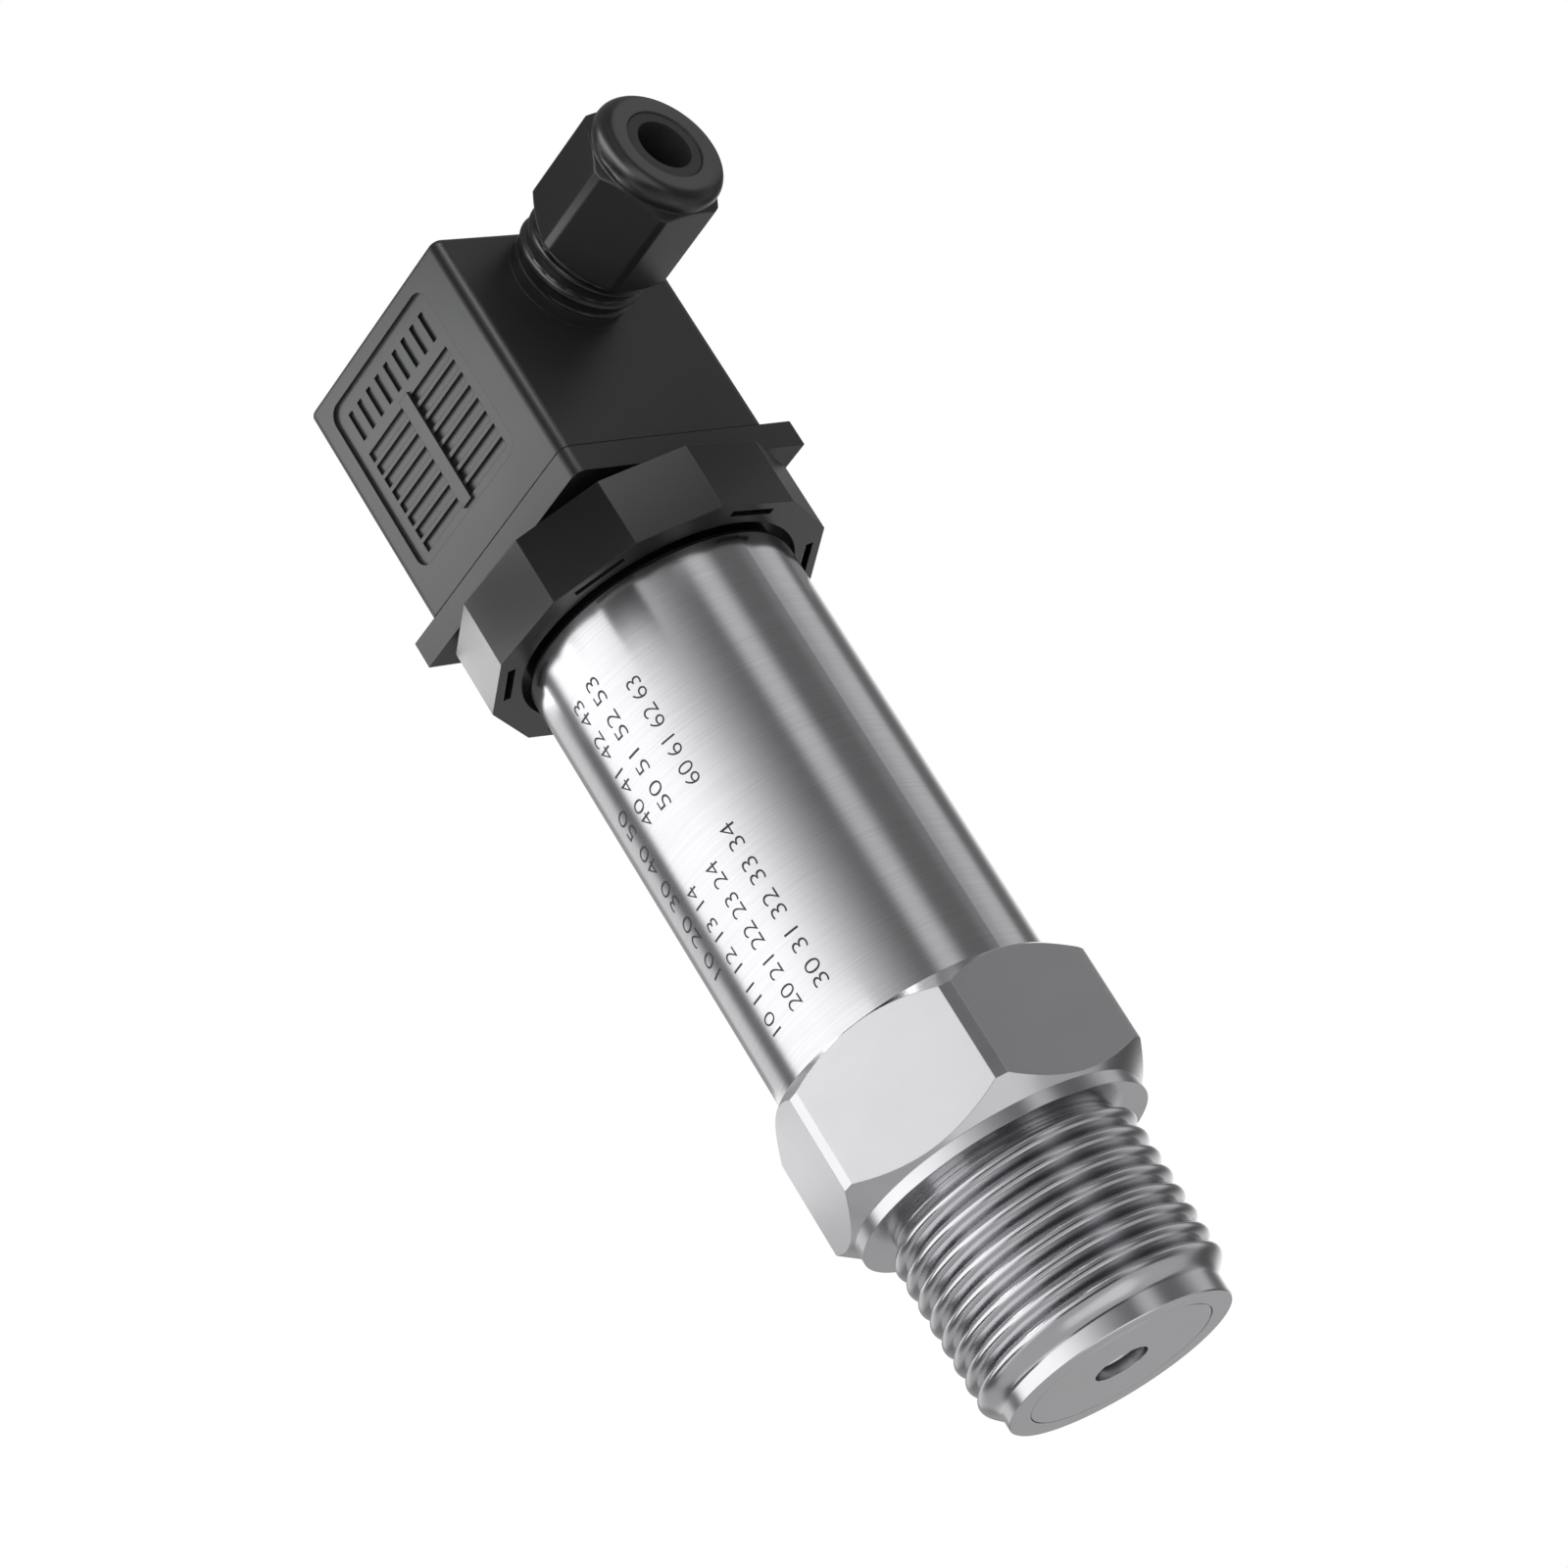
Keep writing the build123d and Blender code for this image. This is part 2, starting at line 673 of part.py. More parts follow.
# Terminal block: the moulded carrier of the four clamps, held inside the cover
with BuildPart() as terminal_block:
    with BuildSketch(Plane.XY.offset(block_z)):
        RectangleRounded(block_width, block_width, plug_edge_radius)
    extrude(amount=block_height)
    with BuildSketch(Plane.XY.offset(clamp_z)):
        with PolarLocations(clamp_center_r, contact_count):
            Rectangle(clamp_depth + 2 * slide_clearance, clamp_width + 2 * slide_clearance)
    extrude(amount=block_height - socket_floor, mode=Mode.SUBTRACT)
    with BuildSketch(Plane.XY.offset(block_z)):
        with PolarLocations(blade_r, contact_count):
            Rectangle(blade_thickness + 2 * blade_entry_clearance, blade_width + 2 * blade_entry_clearance)
        Circle(centre_screw_diameter / 2 + slide_clearance)
    extrude(amount=socket_floor, mode=Mode.SUBTRACT)
    with BuildSketch(Plane.XY.offset(clamp_z)):
        Circle(centre_screw_diameter / 2 + slide_clearance)
    extrude(amount=block_height - socket_floor, mode=Mode.SUBTRACT)
save(terminal_block, "terminal_block")

# Brass clamps, each with a slot for its blade and a tapped hole for its screw
with BuildPart() as terminal_clamps:
    with BuildSketch(Plane.XY.offset(clamp_z)):
        with PolarLocations(clamp_center_r, contact_count):
            Rectangle(clamp_depth, clamp_width)
        with PolarLocations(blade_r, contact_count):
            Rectangle(
                blade_thickness + 2 * socket_clearance, blade_width + 2 * socket_clearance,
                mode=Mode.SUBTRACT,
            )
        with PolarLocations(terminal_screw_r, contact_count):
            Circle(terminal_screw_diameter / 2 + seat_clearance, mode=Mode.SUBTRACT)
    extrude(amount=clamp_height)
save(terminal_clamps, "terminal_clamps")

# Slotted screws of the clamps
with BuildPart() as terminal_screws:
    with BuildSketch(Plane.XY.offset(clamp_top_z)):
        with PolarLocations(terminal_screw_r, contact_count):
            Circle(terminal_screw_diameter / 2)
    extrude(amount=-terminal_screw_length)
    with BuildSketch(Plane.XY.offset(clamp_top_z)):
        with PolarLocations(terminal_screw_r, contact_count):
            Circle(terminal_head_diameter / 2)
    extrude(amount=terminal_head_height)
    with BuildSketch(Plane.XY.offset(clamp_top_z + terminal_head_height)):
        with PolarLocations(terminal_screw_r, contact_count):
            Rectangle(driver_slot_width, terminal_head_diameter + cut_margin)
    extrude(amount=-driver_slot_depth, mode=Mode.SUBTRACT)
save(terminal_screws, "terminal_screws")

# Washer that seals the centre screw in its recess
with BuildPart() as screw_seal:
    with BuildSketch(Plane.XY.offset(screw_seat_z)):
        Circle(screw_recess_diameter / 2 - slide_clearance)
        Circle(centre_screw_diameter / 2 + turn_clearance, mode=Mode.SUBTRACT)
    extrude(amount=screw_seal_thickness)
save(screw_seal, "screw_seal")

# Centre screw that holds the plug on the base
with BuildPart() as centre_screw:
    with BuildSketch(Plane.XY.offset(screw_head_z)):
        Circle(centre_head_diameter / 2)
    extrude(amount=centre_head_height)
    chamfer(centre_screw.faces().sort_by(Axis.Z)[-1].edges(), centre_screw_chamfer)
    with BuildSketch(Plane.XY.offset(screw_head_z + centre_head_height)):
        Rectangle(driver_slot_width, centre_head_diameter + cut_margin)
    extrude(amount=-driver_slot_depth, mode=Mode.SUBTRACT)
    with BuildSketch(Plane.XY.offset(screw_head_z)):
        Circle(centre_screw_diameter / 2)
    extrude(amount=-(screw_head_z - platform_z + centre_screw_reach))
    chamfer(centre_screw.faces().sort_by(Axis.Z)[0].edges(), centre_screw_chamfer)
save(centre_screw, "centre_screw")

# Rubber sleeve that grips the cable, with a nose that shows in the mouth of the gland nut
with BuildPart() as cable_seal:
    with BuildSketch(Plane.XZ):
        with BuildLine():
            Polyline(
                (seal_start_x, gland_z + cable_hole / 2),
                (seal_start_x, gland_z + gland_bore / 2 - seat_clearance),
                (seal_step_x, gland_z + gland_bore / 2 - seat_clearance),
                (seal_step_x, gland_z + nose_diameter / 2),
                (seal_front_x, gland_z + nose_diameter / 2),
                (seal_front_x, gland_z + cable_hole / 2),
                close=True,
            )
        make_face()
    revolve(axis=gland_axis)
save(cable_seal, "cable_seal")

# Thrust ring between the gland nut and the rubber sleeve
with BuildPart() as thrust_ring:
    with BuildSketch(Plane.YZ.offset(seal_step_x)):
        with Locations((0, gland_z)):
            Circle(gland_thread_diameter / 2 - slide_clearance)
            Circle(nose_diameter / 2 + seat_clearance, mode=Mode.SUBTRACT)
    extrude(amount=thrust_ring_thickness)
save(thrust_ring, "thrust_ring")

# Gland nut: a hexagon with turned corners and a rounded front
with BuildPart() as gland_nut:
    with BuildSketch(Plane.YZ.offset(nut_start_x)):
        with Locations((0, gland_z)):
            RegularPolygon(gland_nut_across_flats / 2, 6, major_radius=False, rotation=gland_nut_turn)
    extrude(amount=gland_hex_length)
    nut_corner_z = gland_z + gland_nut_corner_diameter / 2
    with BuildSketch(Plane.XZ):
        with BuildLine():
            Polyline(
                (nut_start_x, gland_z),
                (nut_start_x, nut_corner_z - 2 * gland_nut_chamfer),
                (nut_start_x + gland_nut_chamfer, nut_corner_z),
                (nut_hex_end_x - gland_nut_chamfer, nut_corner_z),
                (nut_hex_end_x, nut_corner_z - 2 * gland_nut_chamfer),
                (nut_hex_end_x, gland_z),
                close=True,
            )
        make_face()
    revolve(axis=gland_axis, mode=Mode.INTERSECT)
    round_x = nut_front_x - dome_round
    round_z = gland_z + dome_diameter / 2 - dome_round
    lean = dome_round * cos(radians(45))
    half_sag = radians(dome_undercut / 2)
    foot_x = round_x - dome_round * sin(radians(dome_undercut))
    foot_z = round_z + dome_round * cos(radians(dome_undercut))
    with BuildSketch(Plane.XZ):
        with BuildLine():
            Line((nut_front_x, gland_z), (nut_front_x, round_z))
            ThreePointArc(
                (nut_front_x, round_z),
                (round_x + lean, round_z + lean),
                (round_x, round_z + dome_round),
            )
            ThreePointArc(
                (round_x, round_z + dome_round),
                (round_x - dome_round * sin(half_sag), round_z + dome_round * cos(half_sag)),
                (foot_x, foot_z),
            )
            Polyline(
                (foot_x, foot_z),
                (nut_hex_end_x - gland_nut_chamfer, foot_z),
                (nut_hex_end_x - gland_nut_chamfer, gland_z),
                (nut_front_x, gland_z),
            )
        make_face()
    revolve(axis=gland_axis)
    with BuildSketch(Plane.XZ):
        with BuildLine():
            Polyline(
                (nut_start_x, gland_z),
                (nut_start_x, gland_z + gland_thread_diameter / 2 + turn_clearance),
                (nut_step_x, gland_z + gland_thread_diameter / 2 + turn_clearance),
                (nut_step_x, gland_z + nose_diameter / 2 + turn_clearance),
                (nut_front_x, gland_z + nose_diameter / 2 + turn_clearance),
                (nut_front_x, gland_z),
                close=True,
            )
        make_face()
    revolve(axis=gland_axis, mode=Mode.SUBTRACT)
save(gland_nut, "gland_nut")
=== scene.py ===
from math import ceil, cos, radians, sin, tau

import bpy
from mathutils import Matrix, Vector


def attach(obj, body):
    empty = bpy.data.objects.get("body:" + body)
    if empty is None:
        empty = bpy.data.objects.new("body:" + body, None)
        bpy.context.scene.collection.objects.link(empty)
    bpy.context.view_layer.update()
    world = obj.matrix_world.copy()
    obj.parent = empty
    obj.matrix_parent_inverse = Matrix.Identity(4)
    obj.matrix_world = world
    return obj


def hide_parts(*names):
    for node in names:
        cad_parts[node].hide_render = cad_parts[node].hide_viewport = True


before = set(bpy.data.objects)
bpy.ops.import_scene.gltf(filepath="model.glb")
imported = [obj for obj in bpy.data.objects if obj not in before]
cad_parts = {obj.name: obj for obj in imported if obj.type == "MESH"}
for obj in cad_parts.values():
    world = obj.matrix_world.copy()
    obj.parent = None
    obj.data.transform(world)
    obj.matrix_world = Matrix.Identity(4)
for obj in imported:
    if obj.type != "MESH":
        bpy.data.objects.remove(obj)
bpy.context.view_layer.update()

# Pressure transmitter: the finish of each piece, its threads and its etched scale.
# The frame gives the solids. Lengths are in metres, written as millimetres times MM.
MM = 0.001

# Threaded end, as turned from the bar
THREAD_RADIUS = 13.5 * MM
THREAD_PITCH = 2.17 * MM
THREAD_DEPTH = 1.35 * MM
THREAD_FLANK_POWER = 2.1
THREAD_ROWS_PER_PITCH = 24
THREAD_FIRST_CREST = 3.3 * MM
THREAD_START_TURN = radians(-136)
THREAD_GROWS = (radians(-164), radians(-94))
THREAD_FADES = (radians(2700), radians(2790))
THREAD_FOOT = 2.1 * MM
THREAD_END_SLOPE = 2.5
PILOT_RADIUS = 12.1 * MM
RIM_CHAMFER = 0.12 * MM
RELIEF_RADIUS = 12.1 * MM
RELIEF_START = 20.2 * MM
RELIEF_STEP = 0.12 * MM
RELIEF_STEP_HEIGHT = 20.45 * MM
CUT_HEIGHT = 20.8 * MM
DISC_POCKET_RADIUS = 9.86 * MM
DISC_POCKET_DEPTH = 1.2 * MM
BORE_RADIUS = 2.3 * MM
BORE_CHAMFER = 0.5 * MM
CHAMBER_RADIUS = 9.56 * MM
CHAMBER_FLOOR = 20.0 * MM

# Flats of the hexagon: upright faces at this distance from the axis, give or take the slack
FLAT_DISTANCE = 16.0 * MM
FLAT_SLACK = 0.1 * MM
UPRIGHT = 0.999

# Thread of the gland spigot, the part that shows between the cover and the nut
SPIGOT_THREAD_RADIUS = 6.8 * MM
SPIGOT_CORE_RADIUS = 6.27 * MM
SPIGOT_PITCH = 1.9 * MM
SPIGOT_START = 15.2 * MM
SPIGOT_END = 19.4 * MM
SPIGOT_ROWS = 40
SPIGOT_WALL = 0.4 * MM
SPIGOT_RUN_OUT = 0.4 * MM
SPIGOT_FLANK_POWER = 0.7
GLAND_HEIGHT = 121.0 * MM

# Etched scale on the tube: rows of plain numerals that read towards the plug
TUBE_RADIUS = 14.8 * MM
ETCH_STAND = 0.012 * MM
ETCH_STEP = 0.25 * MM
ETCH_CURVE_STEPS = 4

# Shares of a numeral's size: how much its strokes are thinned, its lowest reach and its full reach
ETCH_THINNING = 0.012
ETCH_LOWEST = -0.3
ETCH_REACH = 1.4

# Meshes: columns round a thread, angles below which edges are smooth, and what counts as one place
THREAD_COLUMNS = 168
SPIGOT_COLUMNS = 96
ROLLED_SMOOTH_ANGLE = 40
HEXAGON_SMOOTH_ANGLE = 20
SAME_PLACE = 0.001 * MM

# Numbers of the colour sockets on the mix node, whose names are not unique
MIX_FIRST_COLOUR = 6
MIX_SECOND_COLOUR = 7
MIX_COLOUR_RESULT = 2

# Camera at the photo's viewing angle, below the end face
CAMERA_PLACE = (310.58 * MM, -341.66 * MM, -110.22 * MM)
CAMERA_TURN = (114.306, 29.654, 54.629)
CAMERA_LENS = 116.46
CAMERA_SENSOR = 36
CAMERA_NEAR = 10 * MM

# Studio, in metres: floor, light tent and how far the lamps stand from the part's middle
MIDDLE_HEIGHT = 64 * MM
FLOOR_SIZE = 3
FLOOR_HEIGHT = -0.05 * MM
TENT_RADIUS = 0.6
TENT_HEIGHT = 1.2
TENT_MIDDLE = 0.2
TENT_SIDES = 96
TENT_DIM_START = -0.2
LAMP_DISTANCE = 0.62


def linear(code):
    """Turn an sRGB hex colour into the linear colour that the shader needs."""
    channels = [int(code[place:place + 2], 16) / 255 for place in (1, 3, 5)]
    return [c / 12.92 if c <= 0.04045 else ((c + 0.055) / 1.055) ** 2.4 for c in channels] + [1.0]


def per_metre(size_mm):
    """Scale of a pattern whose features are this many millimetres apart."""
    return 1 / (size_mm * MM)


def add_node(tree, kind, settings=None, links=None):
    """Add a node, set its properties and sockets, and link outputs of other nodes to its sockets."""
    node = tree.nodes.new(kind)
    for key, value in (settings or {}).items():
        if isinstance(key, int) or key in node.inputs:
            node.inputs[key].default_value = value
        else:
            setattr(node, key, value)
    for key, output in (links or {}).items():
        tree.links.new(output, node.inputs[key])
    return node


def deselect():
    """Leave nothing selected, because operators act on all that is selected."""
    for item in bpy.context.selected_objects:
        item.select_set(False)


def make_active(piece):
    """Select one piece alone and make it the active one."""
    deselect()
    piece.select_set(True)
    bpy.context.view_layer.objects.active = piece


def merge_points(piece):
    """Merge points that lie on each other, so that seams close."""
    make_active(piece)
    bpy.ops.object.mode_set(mode="EDIT")
    bpy.ops.mesh.select_all(action="SELECT")
    bpy.ops.mesh.remove_doubles(threshold=SAME_PLACE)
    bpy.ops.mesh.normals_make_consistent(inside=False)
    bpy.ops.object.mode_set(mode="OBJECT")


def smooth(piece, angle):
    """Shade the piece smooth, apart from edges sharper than the angle."""
    make_active(piece)
    bpy.ops.object.shade_smooth_by_angle(angle=radians(angle))


def roll(name, section, columns, place_at):
    """Roll a flat grid round Z into a ring with this closed section of (radius, height) points."""
    deselect()
    bpy.ops.mesh.primitive_grid_add(x_subdivisions=columns, y_subdivisions=len(section), size=1)
    piece = bpy.context.object
    piece.name = name
    for point in piece.data.vertices:
        turn = (point.co.x + 0.5) * tau
        radius, height = section[round((point.co.y + 0.5) * len(section)) % len(section)]
        radius, height = place_at(turn, radius, height)
        point.co = (radius * cos(turn), radius * sin(turn), height)
    merge_points(piece)
    smooth(piece, ROLLED_SMOOTH_ANGLE)
    return piece


# Materials


def start_material(name, colour, metallic, roughness):
    """Start a material with one plain shader, and give its tree, shader and object coordinates."""
    material = bpy.data.materials.new(name)
    material.use_nodes = True
    tree = material.node_tree
    shader = tree.nodes["Principled BSDF"]
    shader.inputs["Base Color"].default_value = linear(colour)
    shader.inputs["Metallic"].default_value = metallic
    shader.inputs["Roughness"].default_value = roughness
    place = add_node(tree, "ShaderNodeTexCoord").outputs["Object"]
    return material, tree, shader, place


def finish_normal(tree, shader, height, distance_mm, strength, edge_mm):
    """Lay a fine relief on a surface, and break its sharp edges by a small radius if there is one."""
    links = {"Height": height}
    if edge_mm:
        edge = add_node(tree, "ShaderNodeBevel", {"samples": 6, "Radius": edge_mm * MM})
        links["Normal"] = edge.outputs["Normal"]
    bump = add_node(
        tree, "ShaderNodeBump", {"Strength": strength, "Distance": distance_mm * MM}, links
    )
    tree.links.new(bump.outputs["Normal"], shader.inputs["Normal"])


def vary(tree, shader, socket, source, low, high):
    """Let a pattern move one socket between a low and a high value."""
    share = add_node(
        tree, "ShaderNodeMapRange", {"To Min": low, "To Max": high}, {"Value": source}
    )
    tree.links.new(share.outputs["Result"], shader.inputs[socket])


def tint(tree, shader, source, low, high):
    """Let a pattern move the base colour between two hex colours."""
    mix = add_node(
        tree,
        "ShaderNodeMix",
        {"data_type": "RGBA", MIX_FIRST_COLOUR: linear(low), MIX_SECOND_COLOUR: linear(high)},
        {"Factor": source},
    )
    tree.links.new(mix.outputs[MIX_COLOUR_RESULT], shader.inputs["Base Color"])


def brushed_stainless():
    """Stainless tube polished with an abrasive belt: fine lines run round it and soften its bands."""
    material, tree, shader, place = start_material("brushed_stainless_steel", "#cfcfd2", 1.0, 0.17)
    # The belt's lines lie about 0.05 mm apart: they are drawn coarser, so that they still show
    stretch = add_node(
        tree, "ShaderNodeMapping", {"Scale": (0.02, 0.02, 1.0)}, {"Vector": place}
    )
    lines = add_node(
        tree,
        "ShaderNodeTexNoise",
        {"Scale": per_metre(0.22), "Detail": 3.0, "Roughness": 0.6},
        {"Vector": stretch.outputs["Vector"]},
    )
    patches = add_node(
        tree, "ShaderNodeTexNoise", {"Scale": per_metre(9.0), "Detail": 2.0}, {"Vector": place}
    )
    tint(tree, shader, lines.outputs["Fac"], "#c3c3c6", "#d9d9dc")
    vary(tree, shader, "Roughness", patches.outputs["Fac"], 0.12, 0.22)
    finish_normal(tree, shader, lines.outputs["Fac"], 0.004, 0.25, 0.15)
    return material


def turned_stainless(name, edge_mm):
    """Stainless turned on a lathe: a bright surface with faint tool rings that draw out its highlights."""
    material, tree, shader, place = start_material(name, "#cdcdd0", 1.0, 0.2)
    # The feed of such a lathe is about 0.1 mm a turn: it is drawn coarser, so that it still shows
    stretch = add_node(
        tree, "ShaderNodeMapping", {"Scale": (0.03, 0.03, 1.0)}, {"Vector": place}
    )
    rings = add_node(
        tree,
        "ShaderNodeTexNoise",
        {"Scale": per_metre(0.3), "Detail": 1.0},
        {"Vector": stretch.outputs["Vector"]},
    )
    patches = add_node(
        tree, "ShaderNodeTexNoise", {"Scale": per_metre(4.0), "Detail": 2.0}, {"Vector": place}
    )
    tint(tree, shader, patches.outputs["Fac"], "#c6c6c9", "#d3d3d6")
    vary(tree, shader, "Roughness", patches.outputs["Fac"], 0.16, 0.26)
    finish_normal(tree, shader, rings.outputs["Fac"], 0.003, 0.08, edge_mm)
    return material


def satin_stainless():
    """Cold drawn and tumbled stainless flats: an even satin that shows almost no reflection."""
    material, tree, shader, place = start_material("satin_stainless_steel", "#cbcbce", 1.0, 0.38)
    grain = add_node(
        tree, "ShaderNodeTexNoise", {"Scale": per_metre(0.3), "Detail": 3.0}, {"Vector": place}
    )
    patches = add_node(
        tree, "ShaderNodeTexNoise", {"Scale": per_metre(6.0), "Detail": 2.0}, {"Vector": place}
    )
    tint(tree, shader, patches.outputs["Fac"], "#c6c6c9", "#cfcfd2")
    vary(tree, shader, "Roughness", grain.outputs["Fac"], 0.34, 0.42)
    finish_normal(tree, shader, grain.outputs["Fac"], 0.004, 0.2, 0.12)
    return material


def moulded_nylon(name, low, high, roughness, edge_mm):
    """Glass-filled nylon from a spark-eroded mould: black, finely grained, with a soft broad sheen."""
    material, tree, shader, place = start_material(name, low, 0.0, roughness)
    # The mould's grain is about 0.1 mm wide: it is drawn coarser, so that it still shows
    grain = add_node(
        tree, "ShaderNodeTexNoise", {"Scale": per_metre(0.35), "Detail": 4.0}, {"Vector": place}
    )
    flow = add_node(
        tree, "ShaderNodeTexNoise", {"Scale": per_metre(14.0), "Detail": 2.0}, {"Vector": place}
    )
    shader.inputs["IOR"].default_value = 1.53
    tint(tree, shader, flow.outputs["Fac"], low, high)
    vary(tree, shader, "Roughness", flow.outputs["Fac"], roughness - 0.04, roughness + 0.05)
    finish_normal(tree, shader, grain.outputs["Fac"], 0.012, 0.3, edge_mm)
    return material


def moulded_rubber():
    """Black nitrile rubber from a mould: matt, a little grey where the light grazes it."""
    material, tree, shader, place = start_material("nitrile_rubber", "#18181a", 0.0, 0.62)
    grain = add_node(
        tree, "ShaderNodeTexNoise", {"Scale": per_metre(0.25), "Detail": 3.0}, {"Vector": place}
    )
    bloom = add_node(
        tree, "ShaderNodeTexNoise", {"Scale": per_metre(3.0), "Detail": 2.0}, {"Vector": place}
    )
    shader.inputs["IOR"].default_value = 1.52
    tint(tree, shader, bloom.outputs["Fac"], "#161617", "#202022")
    vary(tree, shader, "Roughness", bloom.outputs["Fac"], 0.55, 0.7)
    finish_normal(tree, shader, grain.outputs["Fac"], 0.01, 0.3, 0.1)
    return material


def plated_metal(name, low, high, roughness):
    """Plated or bare small metal parts: bright, with fine scratches from handling."""
    material, tree, shader, place = start_material(name, low, 1.0, roughness)
    scratches = add_node(
        tree,
        "ShaderNodeTexNoise",
        {"Scale": per_metre(0.5), "Detail": 4.0, "Distortion": 1.5},
        {"Vector": place},
    )
    tint(tree, shader, scratches.outputs["Fac"], low, high)
    vary(tree, shader, "Roughness", scratches.outputs["Fac"], roughness - 0.06, roughness + 0.08)
    finish_normal(tree, shader, scratches.outputs["Fac"], 0.004, 0.2, 0.08)
    return material


def glass_laminate():
    """Glass and epoxy circuit board under green solder mask: the weave shows faintly through it."""
    material, tree, shader, place = start_material("green_solder_mask", "#1d5b3a", 0.0, 0.35)
    # A wave repeats about every third of its size: the 0.6 mm weave is drawn at 2 mm, so that it shows
    weave = add_node(
        tree,
        "ShaderNodeTexWave",
        {"Scale": per_metre(6.0), "Distortion": 0.4, "bands_direction": "Z"},
        {"Vector": place},
    )
    tint(tree, shader, weave.outputs["Fac"], "#1a5435", "#226843")
    vary(tree, shader, "Roughness", weave.outputs["Fac"], 0.3, 0.4)
    finish_normal(tree, shader, weave.outputs["Fac"], 0.01, 0.2, 0.05)
    return material


def moulded_resin():
    """Black epoxy of the chips: matt with a fine sandy grain."""
    material, tree, shader, place = start_material("moulding_epoxy", "#1c1c1d", 0.0, 0.55)
    grain = add_node(
        tree, "ShaderNodeTexNoise", {"Scale": per_metre(0.2), "Detail": 3.0}, {"Vector": place}
    )
    tint(tree, shader, grain.outputs["Fac"], "#18181a", "#222224")
    vary(tree, shader, "Roughness", grain.outputs["Fac"], 0.5, 0.62)
    finish_normal(tree, shader, grain.outputs["Fac"], 0.01, 0.3, 0.08)
    return material


def silicone_jacket():
    """Red silicone insulation of the leads: smooth, soft and slightly uneven in colour."""
    material, tree, shader, place = start_material("red_silicone_jacket", "#8e2420", 0.0, 0.42)
    flow = add_node(
        tree, "ShaderNodeTexNoise", {"Scale": per_metre(2.0), "Detail": 2.0}, {"Vector": place}
    )
    tint(tree, shader, flow.outputs["Fac"], "#83201c", "#9c2b26")
    vary(tree, shader, "Roughness", flow.outputs["Fac"], 0.38, 0.48)
    finish_normal(tree, shader, flow.outputs["Fac"], 0.01, 0.1, 0.05)
    return material


def etched_oxide():
    """Laser annealed steel: a thin black oxide that is matt beside the bright tube."""
    material, tree, shader, place = start_material("laser_etched_oxide", "#262628", 0.0, 0.5)
    pulses = add_node(
        tree, "ShaderNodeTexNoise", {"Scale": per_metre(0.15), "Detail": 2.0}, {"Vector": place}
    )
    tint(tree, shader, pulses.outputs["Fac"], "#222224", "#2e2e31")
    vary(tree, shader, "Roughness", pulses.outputs["Fac"], 0.45, 0.6)
    return material


# Pieces


def threaded_section():
    """Section of the threaded end; its rows at the full thread radius wind up with the ridge."""
    points = [
        (CHAMBER_RADIUS, CUT_HEIGHT),
        (CHAMBER_RADIUS, CHAMBER_FLOOR),
        (BORE_RADIUS, CHAMBER_FLOOR),
        (BORE_RADIUS, DISC_POCKET_DEPTH + BORE_CHAMFER),
        (BORE_RADIUS + BORE_CHAMFER, DISC_POCKET_DEPTH),
        (DISC_POCKET_RADIUS, DISC_POCKET_DEPTH),
        (DISC_POCKET_RADIUS, 0),
        (PILOT_RADIUS - RIM_CHAMFER, 0),
    ]
    step = THREAD_PITCH / THREAD_ROWS_PER_PITCH
    crest = THREAD_FIRST_CREST - THREAD_START_TURN / tau * THREAD_PITCH
    below = ceil((crest + THREAD_PITCH - RIM_CHAMFER) / step)
    above = ceil((RELIEF_START - crest) / step)
    for row in range(-below, above + 1):
        points.append((THREAD_RADIUS, crest + row * step))
    points += [
        (RELIEF_RADIUS, RELIEF_STEP_HEIGHT - RELIEF_STEP),
        (RELIEF_RADIUS + RELIEF_STEP, RELIEF_STEP_HEIGHT),
        (RELIEF_RADIUS + RELIEF_STEP, CUT_HEIGHT - RELIEF_STEP),
        (RELIEF_RADIUS, CUT_HEIGHT),
    ]
    return points


def ridge_share(helix):
    """Share of the full ridge at this turn along its helix, which starts and ends at the back."""
    grown = (helix - THREAD_GROWS[0]) / (THREAD_GROWS[1] - THREAD_GROWS[0])
    left = (THREAD_FADES[1] - helix) / (THREAD_FADES[1] - THREAD_FADES[0])
    share = min(max(grown, 0), max(left, 0), 1)
    return share * share * (3 - 2 * share)


def thread_place(turn, radius, height):
    """Radius and height on the threaded end: a right-hand ridge from the pilot to the relief."""
    if radius < THREAD_RADIUS:
        return radius, height
    height = min(max(height + turn / tau * THREAD_PITCH, RIM_CHAMFER), RELIEF_START)
    full_rise = THREAD_RADIUS - PILOT_RADIUS
    around = turn - THREAD_START_TURN
    nearest = round((height - THREAD_FIRST_CREST) / THREAD_PITCH - around / tau)
    rise = 0
    for number in (nearest - 1, nearest, nearest + 1):
        helix = around + number * tau
        offset = height - THREAD_FIRST_CREST - helix / tau * THREAD_PITCH
        away = 2 * abs(offset) / THREAD_PITCH
        flank = full_rise - THREAD_DEPTH * away ** THREAD_FLANK_POWER
        if offset < 0:
            # Where no turn lies below, the ridge runs down to the pilot in a long foot
            neighbour = ridge_share(helix - tau)
            down = min(-offset / THREAD_FOOT, 1)
            foot = full_rise * (1 - down * down * (3 - 2 * down))
            flank = neighbour * flank + (1 - neighbour) * foot
        rise = max(rise, flank * ridge_share(helix))
    return PILOT_RADIUS + min(rise, (RELIEF_START - height) * THREAD_END_SLOPE), height


